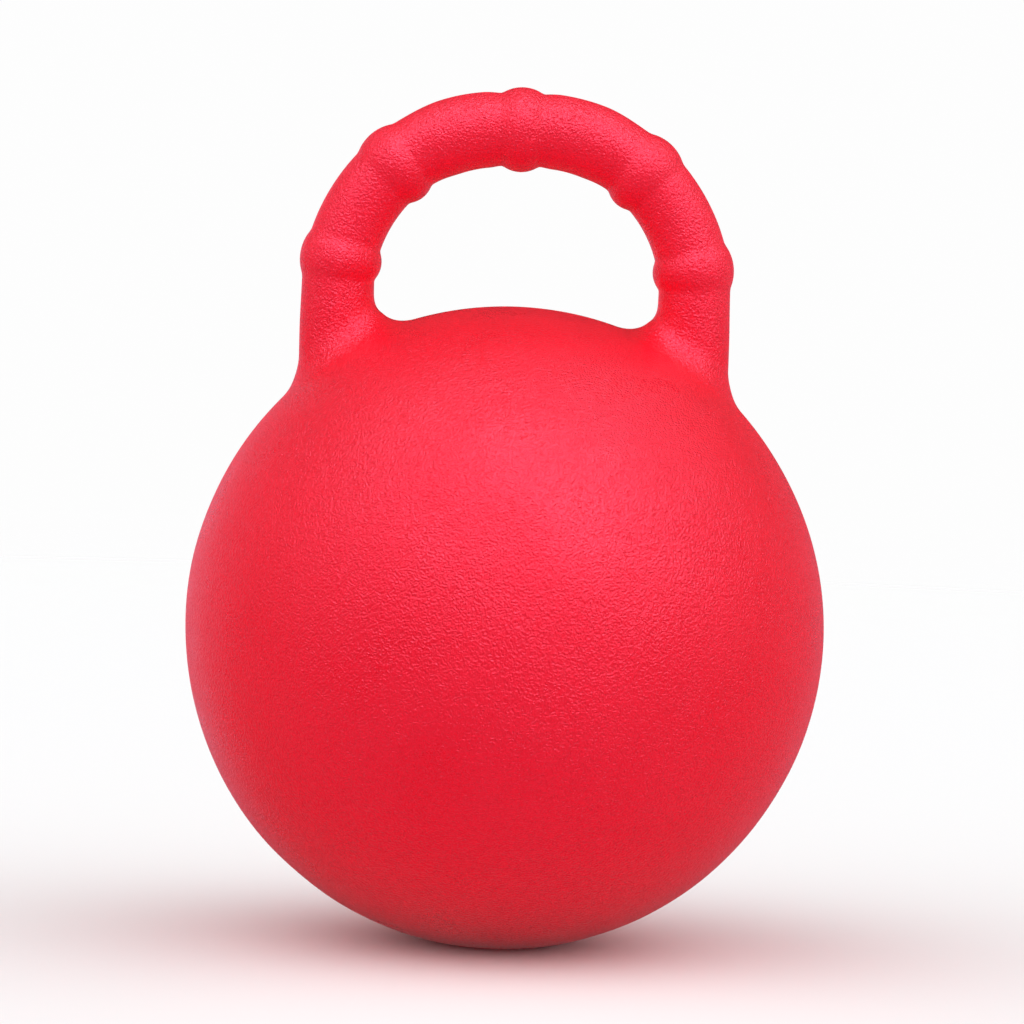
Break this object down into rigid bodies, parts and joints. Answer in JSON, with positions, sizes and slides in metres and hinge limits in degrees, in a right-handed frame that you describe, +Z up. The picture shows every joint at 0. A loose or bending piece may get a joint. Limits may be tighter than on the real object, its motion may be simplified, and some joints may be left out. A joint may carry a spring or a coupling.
{
  "type": "medicine ball",
  "caption": "Soft weighted exercise ball with a moulded loop handle and grip beads, closed at the base by a stopper.",
  "frame": {"origin": "centre of the small resting flat on the underside of the ball, on the floor", "axes": "+Z up through the ball and the middle of the handle; +X across the handle from leg to leg; +Y from the front to the back"},
  "size_m": [0.2008, 0.2008, 0.2679],
  "materials": {
    "skin": "satin, fine leather grain",
    "collar": "satin",
    "stopper": "matt",
    "ballast": "loose grains"
  },
  "bodies": {
    "ball": {"shell": "skin", "valve_collar": "collar", "ballast_sand": "ballast"},
    "stopper": {"fill_stopper": "stopper"}
  },
  "joints": [
    {"name": "stopper_pull", "type": "slide", "parent": "ball", "child": "stopper", "axis": [0, 0, -1], "range_m": [0, 0.03]}
  ]
}
